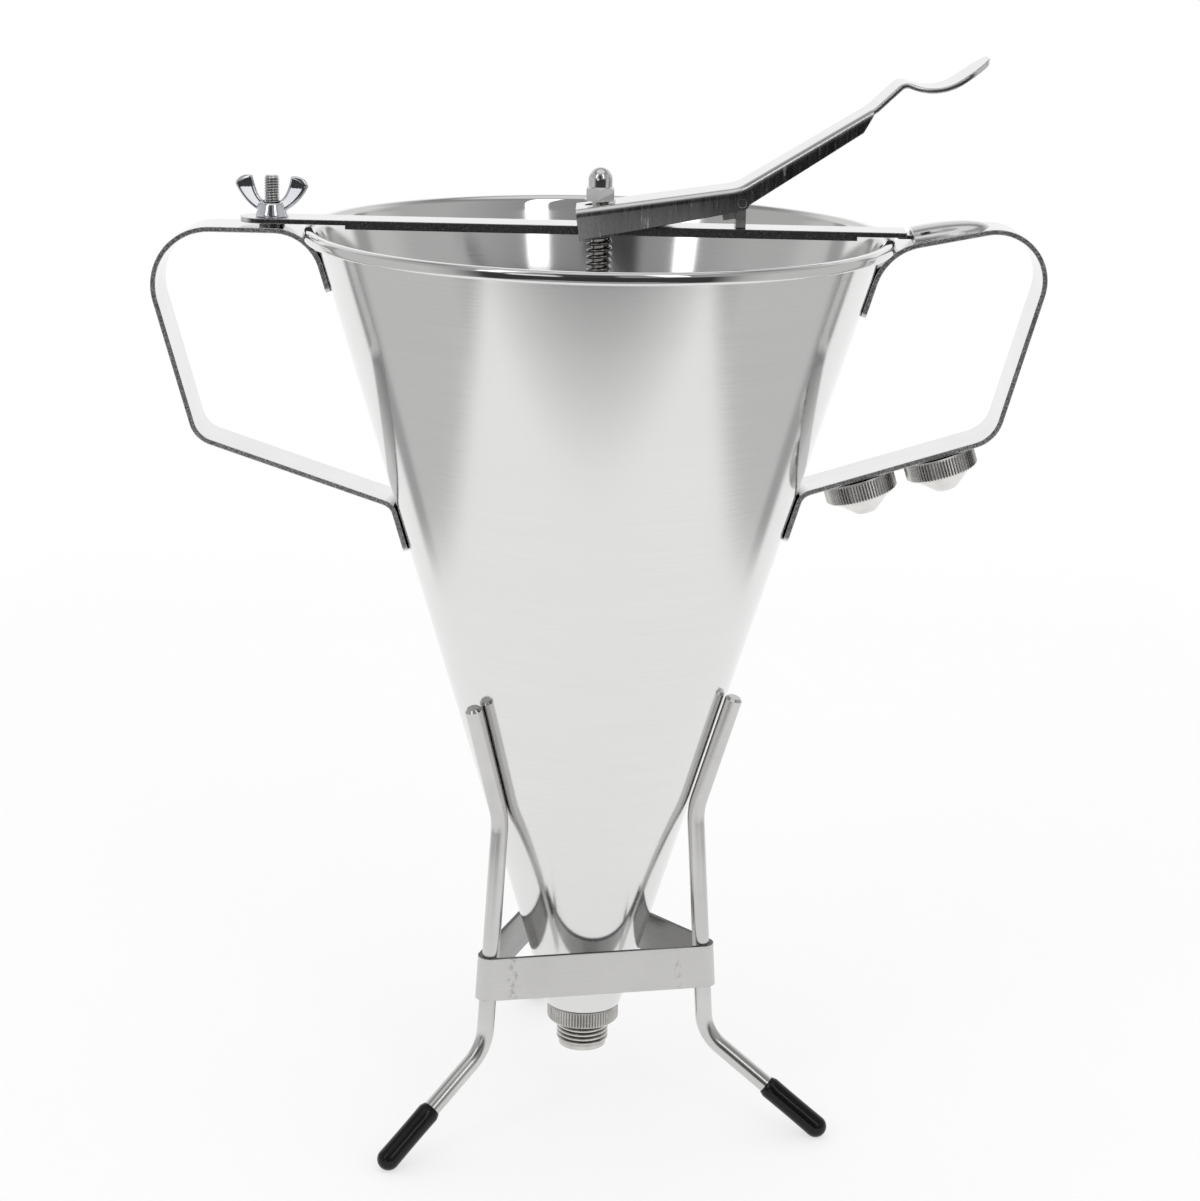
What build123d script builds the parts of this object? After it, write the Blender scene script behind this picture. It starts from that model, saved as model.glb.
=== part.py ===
from build123d import *
import math
import os

# Millimetres. The floor is at height 0, the funnel's axis is Z and the thumb rest points along +X.

# Funnel cone
mouth_diameter = 180.0
cone_height = 252.0
cone_end_diameter = 24.66
bead_diameter = 3.7
bead_lap = 0.2
sheet = 0.9

# Outlet spout and its height over the floor
outlet_clearance = 20.0
spout_socket = 8.0
spout_bore = 12.0
seat_diameter = 19.2
seat_depth = 6.0
ring_groove_height = 0.8
ring_groove_diameter = 21.0
knurl_ring_diameter = 23.4
knurl_ring_height = 5.6
spout_thread_diameter = 16.9
spout_thread_length = 7.5
spout_tip_diameter = 15.6
spout_tip_length = 1.6

# Knurls and threads
knurl_depth = 0.45
knurl_teeth = 72
knurl_chamfer = 0.7
coarse_pitch = 1.5
coarse_depth = 0.65
fine_pitch = 0.8
fine_depth = 0.45
crest_share = 0.3

# Handle straps
strap_width = 19.0
strap_thickness = 1.5
strap_corner = 2.0
handle_overhang = 45.9
weld_sink = 0.15
tab_top_left = 18.0
tab_top_right = 22.0
tab_low_left = 14.88
tab_low_right = 15.23
left_run_height = 0.5
left_side_angle = 15.5
left_low_angle = 18.5
left_low_height = -63.6
left_bend_shares = [0.3268, 0.3813, 0.1852, 0.1089]
right_run_height = -0.9
right_run_angle = 11.6
right_side_angle = 14.7
right_low_angle = 17.75
right_low_height = -58.8
right_bend_shares = [0.3704, 0.3312, 0.2397, 0.1089]

# Pressed-up hood on the right handle
hood_set = 5.5
hood_length = 20.0
hood_back = 4.0
hood_width = 17.0
hood_height = 4.0
hood_wall = 1.0

# Stored nozzles and their bosses
nozzle_first = 17.5
nozzle_spacing = 24.6
boss_length = 5.2
collar_diameter = 22.6
collar_height = 6.3
collar_gap = 0.3
tip_diameter = 19.0
tip_end_diameter = 6.8
tip_height = 5.4
thread_clearance = 0.15
nozzle_holes = {"nozzle_small": 3.0, "nozzle_medium": 5.0}

# Crossbar
bar_gap = 0.35
bar_plate = 1.5
bar_width = 13.0
bar_overhang = 19.5
fold_set_left = 13.0
fold_set_right = 12.0
fold_depth = 2.7
fold_wall = 1.2
shoulder_overhang = 3.0
tongue_width = 8.4
tongue_thickness = 1.2
tongue_drop = 0.6
tongue_root = 2.4
tongue_overhang = 13.0

# Clamp stud and wing nut
stud_overhang = 9.8
stud_diameter = 4.8
stud_rise = 12.5
spacer_diameter = 8.0
stud_clearance = 0.05
hub_base_diameter = 10.4
hub_top_diameter = 7.4
hub_height = 4.2
wing_span = 23.2
wing_rise = 11.0
wing_blade = 5.4
wing_root_height = 0.8
wing_thickness = 2.2
wing_angle = -8.0

# Lever
lever_width = 20.0
lever_sheet = 1.5
lever_nose = 7.3
web_at_rod = 9.2
front_arm_angle = 8.8
lever_bend_x = 41.6
neck_x = 81.5
neck_height = 40.3
crest_x = 89.8
crest_height = 48.3
trough_x = 100.0
trough_height = 44.4
thumb_x = 115.5
thumb_height = 55.3
lever_radii = [10.0, 5.0, 3.5, 16.0]
thumb_corner = 8.5
thumb_trim = 0.1
channel_round = 2.4
flange_nose = 9.0
flange_bend = 6.3
flange_neck = 6.2
flange_neck_set = 0.8
flange_slant = 2.6
lever_edge_round = 0.7

# Fulcrum
pivot_x = 42.7
pivot_height = 12.0
pin_diameter = 2.5
pin_clearance = 0.05
barrel_diameter = 4.8
barrel_gap = 0.3
lug_radius = 2.2
post_thickness = 3.0
post_width = 9.0
tenon_width = 6.0
stop_length = 5.5
stop_height = 2.0
stop_width = 6.0
stop_drop = 4.3

# Piston
rod_diameter = 5.0
rod_clearance = 0.06
slot_side_room = 0.4
slot_ends = 8.2
slot_shift = -0.6
nut_across_flats = 8.4
nut_sides = 6
nut_hex_height = 3.7
nut_dome_diameter = 7.6
nut_dome_height = 5.8
nut_angle = 30.0
nut_depth = 6.5
washer_diameter = 9.4
washer_thickness = 0.5
washer_gap = 0.06
plug_gap = 0.5
plug_body = 5.0
plug_neck_diameter = 9.0
plug_neck = 4.0
plug_socket = 6.0
seal_section = 2.4
seal_gap = 0.1

# Return spring
spring_wire = 1.1
spring_outside = 7.9
spring_pitch = 1.9
spring_turns = 18
spring_joints = 4
spring_samples = 24
spring_gap = 0.1
spring_seat_diameter = 10.0
spring_seat_thickness = 1.0
spring_pin_diameter = 1.6
spring_pin_length = 9.0

# Wire stand, with heights measured from the cone's lower edge
stand_angle = 12.0
leg_angles = {"left": 210.0, "right": 330.0, "rear": 90.0}
leg_wire = 5.5
leg_gap = 0.3
leg_top_rise = 110.2
leg_waist = 36.5
leg_knee_radius = 42.0
leg_knee_drop = 5.5
foot_radius = 80.5
leg_radii = [22.0, 14.0]
leg_tip_chamfer = 0.8
sleeve_diameter = 7.2
sleeve_length = 20.7
foot_flat = 0.4
band_height = 14.0
band_thickness = 1.3
band_top_rise = 26.0
band_gap = 0.03

# Heights and radii that follow from the sizes above
bead_radius = bead_diameter / 2
thread_bottom = outlet_clearance + spout_tip_length
ring_bottom = thread_bottom + spout_thread_length
cone_bottom = ring_bottom + knurl_ring_height + ring_groove_height
mouth_height = cone_bottom + cone_height
mouth_radius = mouth_diameter / 2
cone_mouth_radius = mouth_radius - bead_diameter + bead_lap
cone_slope = (cone_mouth_radius - cone_end_diameter / 2) / cone_height
cone_half_angle = math.degrees(math.atan(cone_slope))
cone_tilt = math.cos(math.atan(cone_slope))
seat_top = cone_bottom + spout_socket
handle_reach = mouth_radius + handle_overhang
left_radii = [share * handle_overhang for share in left_bend_shares]
right_radii = [share * handle_overhang for share in right_bend_shares]
hood_mouth_x = mouth_radius + hood_set
stud_x = mouth_radius + stud_overhang
bar_bottom = mouth_height + bead_radius + bar_gap
bar_top = bar_bottom + bar_plate
strap_top_left = mouth_height + left_run_height + strap_thickness / 2
front_slope = math.tan(math.radians(front_arm_angle))
web_half = lever_sheet / 2 / math.cos(math.radians(front_arm_angle))
washer_bottom = mouth_height + web_at_rod + web_half + washer_diameter / 2 * front_slope + washer_gap
nut_bottom = washer_bottom + washer_thickness
spring_top = bar_bottom - spring_gap
spring_bottom = spring_top - spring_turns * spring_pitch - spring_wire
spring_seat_top = spring_bottom - spring_gap
foot_height = sleeve_diameter / 2 - foot_flat


def cone_radius(height):
    """Outside radius of the cone at a height."""
    return cone_mouth_radius - (mouth_height - height) * cone_slope


def cone_bore(height):
    """Inside radius of the cone at a height."""
    return cone_radius(height) - sheet / cone_tilt


def turned(points):
    """Solid of revolution about Z from (radius, height) points."""
    return revolve(Plane.XZ * make_face(Polyline(*points, close=True)), Axis.Z)


def side_profile(points):
    """Face in the XZ plane from (x, height) points."""
    return Plane.XZ * make_face(Polyline(*points, close=True))


def across(face, width):
    """Extrude an XZ face to both sides of the middle plane."""
    return extrude(face, amount=width / 2, both=True)


def rod_between(start, end, diameter):
    """Round bar between two points."""
    axis = Vector(*end) - Vector(*start)
    return extrude(Plane(start, z_dir=axis) * Circle(diameter / 2), amount=axis.length)


def strap(points, radii, section):
    """Strip of one section bent along a route in the XZ plane."""
    route = Plane.XZ * FilletPolyline(*points, radius=radii)
    start = Plane(route @ 0, x_dir=(0, 1, 0), z_dir=route % 0)
    return sweep(start * section, path=route)


def threaded(diameter, depth, pitch, length):
    """Bar with ring grooves that stand for its thread, from height 0 up."""
    turns = int(length / pitch)
    crest = diameter / 2
    root = crest - depth
    flat = pitch * crest_share
    points = [(0, 0), (root, 0)]
    for turn in range(turns):
        start = turn * pitch
        points.append((crest, start + (pitch - flat) / 2))
        points.append((crest, start + (pitch + flat) / 2))
        points.append((root, start + pitch))
    points += [(root, length), (0, length)] if length > turns * pitch else [(0, length)]
    return turned(points)


def knurled(diameter, height, chamfer_size):
    """Straight-knurled collar from height 0 up, chamfered at both ends."""
    points = []
    for tooth in range(knurl_teeth):
        angle = 2 * math.pi * tooth / knurl_teeth
        half = math.pi / knurl_teeth
        for radius, turn in ((diameter / 2, angle), (diameter / 2 - knurl_depth, angle + half)):
            points.append((radius * math.cos(turn), radius * math.sin(turn)))
    star = extrude(make_face(Polyline(*points, close=True)), amount=height)
    blank = Cylinder(diameter / 2, height, align=(Align.CENTER, Align.CENTER, Align.MIN))
    return star & chamfer(blank.edges(), chamfer_size)


def meet(point_a, angle_a, point_b, angle_b):
    """Where two lines in the XZ plane cross, each given by a point and an angle from +X."""
    ca, sa = math.cos(math.radians(angle_a)), math.sin(math.radians(angle_a))
    cb, sb = math.cos(math.radians(angle_b)), math.sin(math.radians(angle_b))
    gap_x = point_b[0] - point_a[0]
    gap_z = point_b[1] - point_a[1]
    along = (gap_x * sb - gap_z * cb) / (ca * sb - sa * cb)
    return (point_a[0] + along * ca, point_a[1] + along * sa)


# Funnel


def funnel_blank():
    """Cone and rim bead, filled in."""
    cone = turned([(0, cone_bottom), (cone_radius(cone_bottom), cone_bottom),
                   (cone_mouth_radius, mouth_height), (0, mouth_height)])
    section = Pos(mouth_radius - bead_radius, mouth_height) * Circle(bead_radius)
    return cone, revolve(Plane.XZ * section, Axis.Z)


def funnel_cone():
    wall = turned([(cone_bore(cone_bottom), cone_bottom), (cone_radius(cone_bottom), cone_bottom),
                   (cone_mouth_radius, mouth_height), (cone_bore(mouth_height), mouth_height)])
    return wall + funnel_blank()[1]


def outlet_spout():
    groove = ring_groove_diameter / 2
    tip = spout_tip_diameter / 2
    body = turned([(0, seat_top), (cone_bore(seat_top), seat_top), (cone_bore(cone_bottom), cone_bottom),
                   (groove, cone_bottom), (groove, ring_bottom), (tip, ring_bottom), (tip, outlet_clearance),
                   (0, outlet_clearance)])
    body += Pos(0, 0, ring_bottom) * knurled(knurl_ring_diameter, knurl_ring_height, knurl_chamfer)
    body += Pos(0, 0, thread_bottom) * threaded(spout_thread_diameter, coarse_depth, coarse_pitch,
                                                spout_thread_length)
    bore = spout_bore / 2
    hollow = turned([(0, seat_top), (seat_diameter / 2, seat_top), (bore, seat_top - seat_depth),
                     (bore, outlet_clearance), (0, outlet_clearance)])
    return body - hollow


# Handles


def tab_line(height):
    """Middle of a strap that lies on the cone, as (radius, height)."""
    return (cone_radius(height) + (strap_thickness / 2 - weld_sink) / cone_tilt, height)


def handle_route(run_height, run_angle, side_angle, low_angle, low_height, radii, tab_top, tab_low):
    """Corners of a right-hand strap, from its upper tab round to its lower tab."""
    cone_angle = 90 - cone_half_angle
    rim = (mouth_radius, mouth_height + run_height)
    top_corner = meet(tab_line(mouth_height), cone_angle, rim, run_angle)
    half_inside = math.radians(90 - side_angle - run_angle) / 2
    run = math.radians(run_angle)
    outer = handle_reach - strap_thickness / 2 - radii[1] * (
        1 + math.sin(run) - math.cos(run) / math.tan(half_inside))
    outer_corner = (outer, rim[1] + (outer - rim[0]) * math.tan(run))
    low_corner = meet(outer_corner, 90 - side_angle, (outer, mouth_height + low_height), 0)
    inner_corner = meet(low_corner, low_angle, tab_line(mouth_height), cone_angle)
    return [tab_line(mouth_height - tab_top), top_corner, outer_corner, low_corner, inner_corner,
            tab_line(inner_corner[1] - tab_low)]


def left_route():
    route = handle_route(left_run_height, 0, left_side_angle, left_low_angle, left_low_height, left_radii,
                         tab_top_left, tab_low_left)
    return [(-x, z) for x, z in route]


def right_route():
    return handle_route(right_run_height, right_run_angle, right_side_angle, right_low_angle,
                        right_low_height, right_radii, tab_top_right, tab_low_right)


def seated(handle):
    """Round the tabs' corners and fit the tabs to the cone and bead."""
    ends = handle.faces().sort_by(SortBy.AREA)[:2]
    corners = [edge for end in ends for edge in end.edges().sort_by(SortBy.LENGTH)[:2]]
    cone, bead = funnel_blank()
    return fillet(corners, strap_corner) - cone - bead


def handle_left():
    return seated(strap(left_route(), left_radii, Rectangle(strap_width, strap_thickness)))


def hood_plane():
    """Middle of the right handle's upper run at the hood's mouth, facing up."""
    angle = math.radians(right_run_angle)
    height = mouth_height + right_run_height + hood_set * math.tan(angle)
    along = (math.cos(angle), 0, math.sin(angle))
    return Plane((hood_mouth_x, 0, height), x_dir=along, z_dir=(-along[2], 0, along[0]))


def hood_dome(inset):
    """Half egg over the strap, open at its mouth, drawn in by an inset."""
    size = (hood_length - inset, hood_width / 2 - inset, hood_height + strap_thickness / 2 - inset)
    egg = scale(Sphere(1), size)
    keep = Box(hood_length + hood_back, hood_width, hood_height + strap_thickness,
               align=(Align.MIN, Align.CENTER, Align.MIN))
    return Pos(hood_back, 0, 0) * egg & keep


def handle_right():
    body = seated(strap(right_route(), right_radii, Rectangle(strap_width, strap_thickness)))
    place = hood_plane().location
    opening = hood_dome(hood_wall)
    pierce = extrude(opening.faces().sort_by(Axis.Z)[0], amount=strap_thickness)
    return body + place * hood_dome(0) - place * (opening + pierce)


# Nozzles


def nozzle_plane(index):
    """Underside of the right handle's lower run at a nozzle's place, facing away from the strap."""
    bend = right_route()[4]
    out = nozzle_first + index * nozzle_spacing
    angle = math.radians(right_low_angle)
    away = Vector(math.sin(angle), 0, -math.cos(angle))
    middle = Vector(bend[0] + out, 0, bend[1] + out * math.tan(angle))
    along = (math.cos(angle), 0, math.sin(angle))
    return Plane(middle + away * (strap_thickness / 2), x_dir=along, z_dir=away)


def nozzle_bosses():
    boss = threaded(spout_thread_diameter, coarse_depth, coarse_pitch, boss_length)
    return [nozzle_plane(index).location * boss for index in range(len(nozzle_holes))]


def nozzle(index, hole):
    collar = Pos(0, 0, collar_gap) * knurled(collar_diameter, collar_height, knurl_chamfer)
    collar_end = collar_gap + collar_height
    tip_end = collar_end + tip_height
    tip = turned([(0, collar_end), (tip_diameter / 2, collar_end), (tip_end_diameter / 2, tip_end),
                  (0, tip_end)])
    thread_room = spout_thread_diameter / 2 + thread_clearance
    socket = turned([(0, 0), (thread_room, 0), (thread_room, collar_end), (hole / 2, tip_end), (0, tip_end)])
    return nozzle_plane(index).location * (collar + tip - socket)


# Crossbar and its clamp


def crossbar():
    half = bar_width / 2
    end = mouth_radius + bar_overhang - half
    shoulder = mouth_radius + shoulder_overhang
    from_left = (Align.MIN, Align.CENTER)
    outline = Pos(-end, 0) * (Circle(half) + Rectangle(end + shoulder, bar_width, align=from_left))
    body = extrude(Pos(0, 0, bar_bottom) * outline, amount=bar_plate)
    root = shoulder - tongue_root
    tongue = Rectangle(mouth_radius + tongue_overhang - root, tongue_width, align=from_left)
    body += extrude(Pos(root, 0, bar_bottom - tongue_drop) * tongue, amount=tongue_thickness)
    fold_left = mouth_radius - fold_set_left
    fold_length = fold_left + mouth_radius - fold_set_right
    fold = Box(fold_length, fold_wall, fold_depth, align=(Align.MIN, Align.MIN, Align.MAX))
    for edge in (-half, half - fold_wall):
        body += Pos(-fold_left, edge, bar_top) * fold
    holes = Pos(-stud_x, 0) * Circle(stud_diameter / 2 + stud_clearance)
    holes += Circle(rod_diameter / 2 + rod_clearance)
    holes += Pos(pivot_x, 0) * Rectangle(post_thickness, tenon_width)
    return body - extrude(Pos(0, 0, bar_bottom) * holes, amount=bar_plate)


def clamp_stud():
    length = bar_top + stud_rise - strap_top_left
    return Pos(-stud_x, 0, strap_top_left) * threaded(stud_diameter, fine_depth, fine_pitch, length)


def stud_spacer():
    ring = Circle(spacer_diameter / 2) - Circle(stud_diameter / 2)
    return extrude(Pos(-stud_x, 0, strap_top_left) * ring, amount=bar_bottom - strap_top_left)


def wing_outline():
    """One wing of the nut, from the hub to its rounded top, in the XZ plane."""
    reach = wing_span / 2
    inner = reach - wing_blade
    hub = hub_top_diameter / 2
    lower = Bezier((0, wing_root_height), (hub_base_diameter / 2, wing_root_height), (reach, hub_height),
                   (reach, wing_rise - wing_blade / 2))
    top = Bezier((reach, wing_rise - wing_blade / 2), (reach, wing_rise),
                 (inner, wing_rise + wing_root_height), (inner, wing_rise))
    inside = Bezier((inner, wing_rise), (inner - wing_root_height, hub_height + wing_root_height),
                    (hub, hub_height), (0, hub_height))
    return make_face([lower, top, inside, Line((0, hub_height), (0, wing_root_height))])


def wing_nut():
    hub = turned([(0, 0), (hub_base_diameter / 2, 0), (hub_top_diameter / 2, hub_height), (0, hub_height)])
    wing = across(Plane.XZ * wing_outline(), wing_thickness)
    body = hub + wing + Rot(0, 0, 180) * wing
    bore = extrude(Circle(stud_diameter / 2 + stud_clearance), amount=wing_rise)
    return Pos(-stud_x, 0, bar_top) * Rot(0, 0, wing_angle) * (body - bore)


# Lever and fulcrum


def lever_corner(x):
    """Middle of the front arm's web at an x place."""
    return (x, mouth_height + web_at_rod + x * front_slope)


def lever_route():
    return [lever_corner(-lever_nose), lever_corner(lever_bend_x), (neck_x, mouth_height + neck_height),
            (crest_x, mouth_height + crest_height), (trough_x, mouth_height + trough_height),
            (thumb_x, mouth_height + thumb_height)]


def channel_end():
    """Middle of the web where the flanges stop, short of the neck."""
    bend, neck = lever_route()[1:3]
    back = flange_neck_set / (neck[0] - bend[0])
    return (neck[0] - flange_neck_set, neck[1] - (neck[1] - bend[1]) * back)


def channel_section():
    """Upside-down U with round bends, deeper than the flanges."""
    hang = (Align.CENTER, Align.MAX)
    inside = lever_width - 2 * lever_sheet
    outer = Pos(0, lever_sheet / 2) * Rectangle(lever_width, 2 * flange_nose, align=hang)
    inner = Pos(0, -lever_sheet / 2) * Rectangle(inside, 2 * flange_nose, align=hang)
    outer = fillet(outer.vertices().group_by(Axis.Y)[-1], channel_round)
    return outer - fillet(inner.vertices().group_by(Axis.Y)[-1], channel_round - lever_sheet)


def channel():
    """Both arms of the lever, with flanges deepest at the nose and a small round lug at the pivot."""
    nose, bend, neck = lever_route()[:3]
    end = channel_end()
    arms = strap([nose, bend, end], lever_radii[:1], channel_section())
    above = mouth_height + 2 * thumb_height
    front = nose[0] - lever_sheet
    depth = side_profile([(front, above), (front, nose[1] - flange_nose), (bend[0], bend[1] - flange_bend),
                          (end[0] - flange_slant, end[1] - flange_neck), (end[0], end[1] - lever_sheet),
                          neck, (neck[0], above)])
    lug = Plane.XZ * Pos(pivot_x, mouth_height + pivot_height) * Circle(lug_radius)
    lugs = across(lug, lever_width) - across(lug, lever_width - 2 * lever_sheet)
    return (arms & across(depth, lever_width + 2 * thumb_trim)) + lugs


def lever():
    section = Rectangle(lever_width, lever_sheet)
    section = fillet(section.vertices().group_by(Axis.Y)[-1], lever_edge_round)
    body = channel() + strap([channel_end()] + lever_route()[2:], lever_radii[1:], section)
    plan = Rectangle(thumb_x + lever_nose, lever_width + 2 * thumb_trim, align=(Align.MIN, Align.CENTER))
    plan = fillet(plan.vertices().group_by(Axis.X)[-1], thumb_corner)
    body = body & extrude(Pos(-lever_nose, 0, 0) * plan, amount=mouth_height + 2 * thumb_height, both=True)
    hole = Plane.XZ * Pos(pivot_x, mouth_height + pivot_height) * Circle(pin_diameter / 2)
    body -= across(hole, lever_width)
    width = rod_diameter + 2 * slot_side_room
    x, z = lever_corner(slot_shift)
    place = Plane((x, 0, z), x_dir=(1, 0, front_slope), z_dir=(-front_slope, 0, 1))
    return body - extrude(place * SlotOverall(slot_ends, width), amount=lever_sheet, both=True)


def fulcrum_post():
    height = pivot_height + mouth_height - bar_top
    column = Pos(pivot_x, 0, bar_top) * Box(post_thickness, post_width, height,
                                            align=(Align.CENTER, Align.CENTER, Align.MIN))
    tenon = Pos(pivot_x, 0, bar_bottom) * Box(post_thickness, tenon_width, bar_plate,
                                              align=(Align.CENTER, Align.CENTER, Align.MIN))
    middle = Plane.XZ * Pos(pivot_x, mouth_height + pivot_height)
    barrel = across(middle * Circle(barrel_diameter / 2), lever_width - 2 * lever_sheet - 2 * barrel_gap)
    stop = Box(stop_length, stop_width, stop_height, align=(Align.MAX, Align.CENTER, Align.CENTER))
    stop = Pos(pivot_x, 0, mouth_height + pivot_height - stop_drop) * Rot(0, -front_arm_angle, 0) * stop
    bore = across(middle * Circle(pin_diameter / 2 + pin_clearance), lever_width)
    return column + tenon + barrel + stop - bore


def fulcrum_pin():
    middle = Plane.XZ * Pos(pivot_x, mouth_height + pivot_height)
    return across(middle * Circle(pin_diameter / 2), lever_width)


# Piston


def seat_radius(height):
    """Radius of the outlet's conical seat at a height."""
    taper = (seat_diameter - spout_bore) / 2 / seat_depth
    return seat_diameter / 2 - (seat_top - height) * taper


def seal_section_place():
    """Middle of the seal's section, as (radius, height), beside the middle of the seat."""
    lean = math.atan((seat_diameter - spout_bore) / 2 / seat_depth)
    off = seal_section / 2 + seal_gap
    middle = seat_top - seat_depth / 2
    return (seat_radius(middle) - off * math.cos(lean), middle + off * math.sin(lean))


def seal_ring():
    radius, height = seal_section_place()
    return revolve(Plane.XZ * Pos(radius, height) * Circle(seal_section / 2), Axis.Z)


def valve_plug():
    low = seat_top - seat_depth + plug_gap
    shoulder = seat_top + plug_body
    top = shoulder + plug_neck
    face = seat_radius(seat_top) - plug_gap
    body = turned([(0, low), (seat_radius(low) - plug_gap, low), (face, seat_top), (face, shoulder),
                   (plug_neck_diameter / 2, top), (0, top)])
    return body - seal_ring() - rod_blank()


def rod_blank():
    bottom = seat_top + plug_body + plug_neck - plug_socket
    return rod_between((0, 0, bottom), (0, 0, nut_bottom + nut_depth), rod_diameter)


def piston_rod():
    return rod_blank() - spring_pin()


def spring_pin():
    height = spring_seat_top - spring_seat_thickness - spring_pin_diameter / 2
    half = spring_pin_length / 2
    return rod_between((-half, 0, height), (half, 0, height), spring_pin_diameter)


def spring_washer():
    ring = Circle(spring_seat_diameter / 2) - Circle(rod_diameter / 2)
    return extrude(Pos(0, 0, spring_seat_top - spring_seat_thickness) * ring, amount=spring_seat_thickness)


def nut_washer():
    ring = Circle(washer_diameter / 2) - Circle(rod_diameter / 2)
    return extrude(Pos(0, 0, washer_bottom) * ring, amount=washer_thickness)


def cap_nut():
    corner = nut_across_flats / 2 / math.cos(math.pi / nut_sides)
    prism = extrude(RegularPolygon(corner, nut_sides), amount=nut_hex_height)
    bevel = turned([(0, 0), (corner, 0), (corner, nut_hex_height - knurl_chamfer),
                    (nut_dome_diameter / 2, nut_hex_height), (0, nut_hex_height)])
    dome_top = nut_hex_height + nut_dome_height
    straight = dome_top - nut_dome_diameter / 2
    dome = extrude(Circle(nut_dome_diameter / 2), amount=straight)
    dome += Pos(0, 0, straight) * Sphere(nut_dome_diameter / 2)
    return Pos(0, 0, nut_bottom) * Rot(0, 0, nut_angle) * ((prism & bevel) + dome) - rod_blank()


def helix_point(turns):
    """Point and direction on the spring's middle line after a number of turns from its foot."""
    radius = (spring_outside - spring_wire) / 2
    angle = 2 * math.pi * turns
    rise = spring_pitch / (2 * math.pi * radius)
    place = Vector(radius * math.cos(angle), radius * math.sin(angle),
                   spring_bottom + spring_wire / 2 + spring_pitch * turns)
    return place, Vector(-math.sin(angle), math.cos(angle), rise).normalized()


def two_arcs(start, start_way, end, end_way):
    """Two arcs that meet smoothly between two directed points."""
    chord = end - start
    both = start_way + end_way
    turn = 1 - start_way.dot(end_way)
    lead = chord.dot(both)
    reach = (math.sqrt(lead * lead + 2 * turn * chord.dot(chord)) - lead) / (2 * turn)
    joint = (start + end + (start_way - end_way) * reach) / 2
    first = TangentArc(start, joint, tangent=start_way)
    return [first, TangentArc(joint, end, tangent=first % 1)]


def return_spring():
    arcs = []
    for step in range(spring_turns * spring_joints):
        arcs += two_arcs(*helix_point(step / spring_joints), *helix_point((step + 1) / spring_joints))
    route = Wire([arc.edge() for arc in arcs])
    start, way = helix_point(0)
    section = Plane(start, z_dir=way) * Circle(spring_wire / 2)
    coil = sweep(section, path=route)
    print("spring: least gap to itself", round(spring_self_gap(), 3), "mm")
    print("spring: volume over section times length", round(coil.volume / (section.area * route.length), 4))
    return coil


def spring_self_gap():
    """Least clear distance between neighbouring turns, measured on points."""
    line = [helix_point(step / spring_samples)[0] for step in range(spring_turns * spring_samples + 1)]
    least = min((line[i] - line[j]).length for i in range(len(line))
                for j in range(i + spring_samples // 2, min(len(line), i + 2 * spring_samples)))
    return least - spring_wire


# Stand


def leg_line(height):
    """Middle of a leg's upper run beside the cone, as (radius, height)."""
    return (cone_radius(height) + (leg_wire / 2 + leg_gap) / cone_tilt, height)


def leg_corners():
    """Corners of one leg in its own upright plane, as (radius, height)."""
    tip = leg_line(cone_bottom + leg_top_rise)
    waist = meet(tip, 90 - cone_half_angle, (leg_waist, 0), 90)
    knee = (leg_knee_radius, cone_bottom - leg_knee_drop)
    return [tip, waist, knee, (foot_radius, foot_height)]


def leg_blank():
    route = Plane.XZ * FilletPolyline(*leg_corners(), radius=leg_radii)
    wire = sweep(Plane(route @ 0, z_dir=route % 0) * Circle(leg_wire / 2), path=route)
    tip = wire.edges().sort_by(Axis.Z)[-1]
    return chamfer(tip, leg_tip_chamfer)


def sleeve_blank():
    knee, foot = [Vector(radius, 0, height) for radius, height in leg_corners()[2:]]
    back = (knee - foot).normalized()
    tube = rod_between(tuple(foot + back * sleeve_length), tuple(foot), sleeve_diameter)
    tube += Pos(*foot) * Sphere(sleeve_diameter / 2)
    below = Pos(foot.X, 0, 0) * Box(sleeve_diameter * 2, sleeve_diameter, sleeve_diameter,
                                    align=(Align.CENTER, Align.CENTER, Align.MAX))
    return tube - rod_between(tuple(knee), tuple(foot), leg_wire) - below


def band_outline(height, offset_out):
    """Rounded triangle round the three legs at a height."""
    waist, knee = leg_corners()[1:3]
    share = (waist[1] - height) / (waist[1] - knee[1])
    radius = waist[0] + (knee[0] - waist[0]) * share
    corners = Rot(0, 0, leg_angles["rear"] + stand_angle) * RegularPolygon(radius, len(leg_angles))
    return Pos(0, 0, height) * offset(corners, leg_wire / 2 + offset_out, kind=Kind.ARC)


def stand_band():
    top = cone_bottom + band_top_rise
    bottom = top - band_height
    outside, inside = [loft([band_outline(bottom, out), band_outline(top, out)])
                       for out in (band_gap + band_thickness, band_gap)]
    return outside - inside


parts = {
    "funnel_cone": funnel_cone(),
    "outlet_spout": outlet_spout(),
    "handle_left": handle_left(),
    "handle_right": handle_right(),
    "nozzle_bosses": Compound(nozzle_bosses()),
    "crossbar": crossbar(),
    "clamp_stud": clamp_stud(),
    "stud_spacer": stud_spacer(),
    "wing_nut": wing_nut(),
    "lever": lever(),
    "fulcrum_post": fulcrum_post(),
    "fulcrum_pin": fulcrum_pin(),
    "piston_rod": piston_rod(),
    "cap_nut": cap_nut(),
    "nut_washer": nut_washer(),
    "return_spring": return_spring(),
    "spring_washer": spring_washer(),
    "spring_pin": spring_pin(),
    "valve_plug": valve_plug(),
    "seal_ring": seal_ring(),
    "stand_band": stand_band(),
}
for index, (name, hole) in enumerate(nozzle_holes.items()):
    parts[name] = nozzle(index, hole)
for side, angle in leg_angles.items():
    parts["leg_" + side] = Rot(0, 0, angle + stand_angle) * leg_blank()
    parts["foot_" + side] = Rot(0, 0, angle + stand_angle) * sleeve_blank()

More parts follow.
